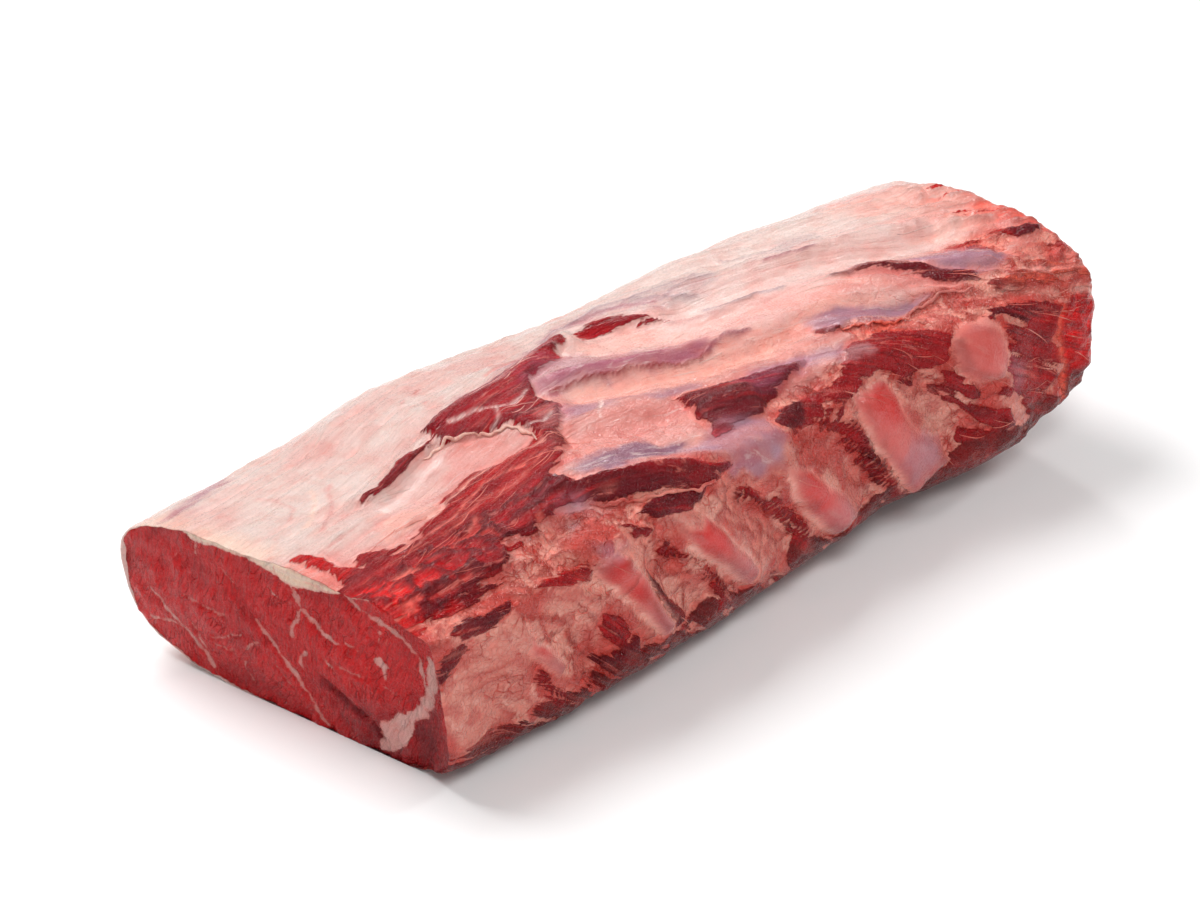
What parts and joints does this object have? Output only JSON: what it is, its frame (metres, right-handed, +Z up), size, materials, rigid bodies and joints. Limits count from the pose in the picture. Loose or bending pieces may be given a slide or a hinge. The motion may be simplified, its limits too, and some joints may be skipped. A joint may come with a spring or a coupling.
{
  "type": "beef rib roll",
  "caption": "Raw boneless beef rib roll, one long piece with a cut face at each end, a torn fat cover on top and slanting rib prints down one side, lying on its underside.",
  "frame": {"origin": "middle of the roll's footprint box, on the surface it rests on", "axes": "+X along the roll from the near cut face to the far end, +Y from the rib side to the back, +Z up"},
  "size_m": [0.4252, 0.1842, 0.1074],
  "materials": {
    "raw_beef": "wet raw beef, satin to glossy"
  },
  "bodies": {
    "root": {"rib_roll": "raw_beef"}
  },
  "joints": []
}
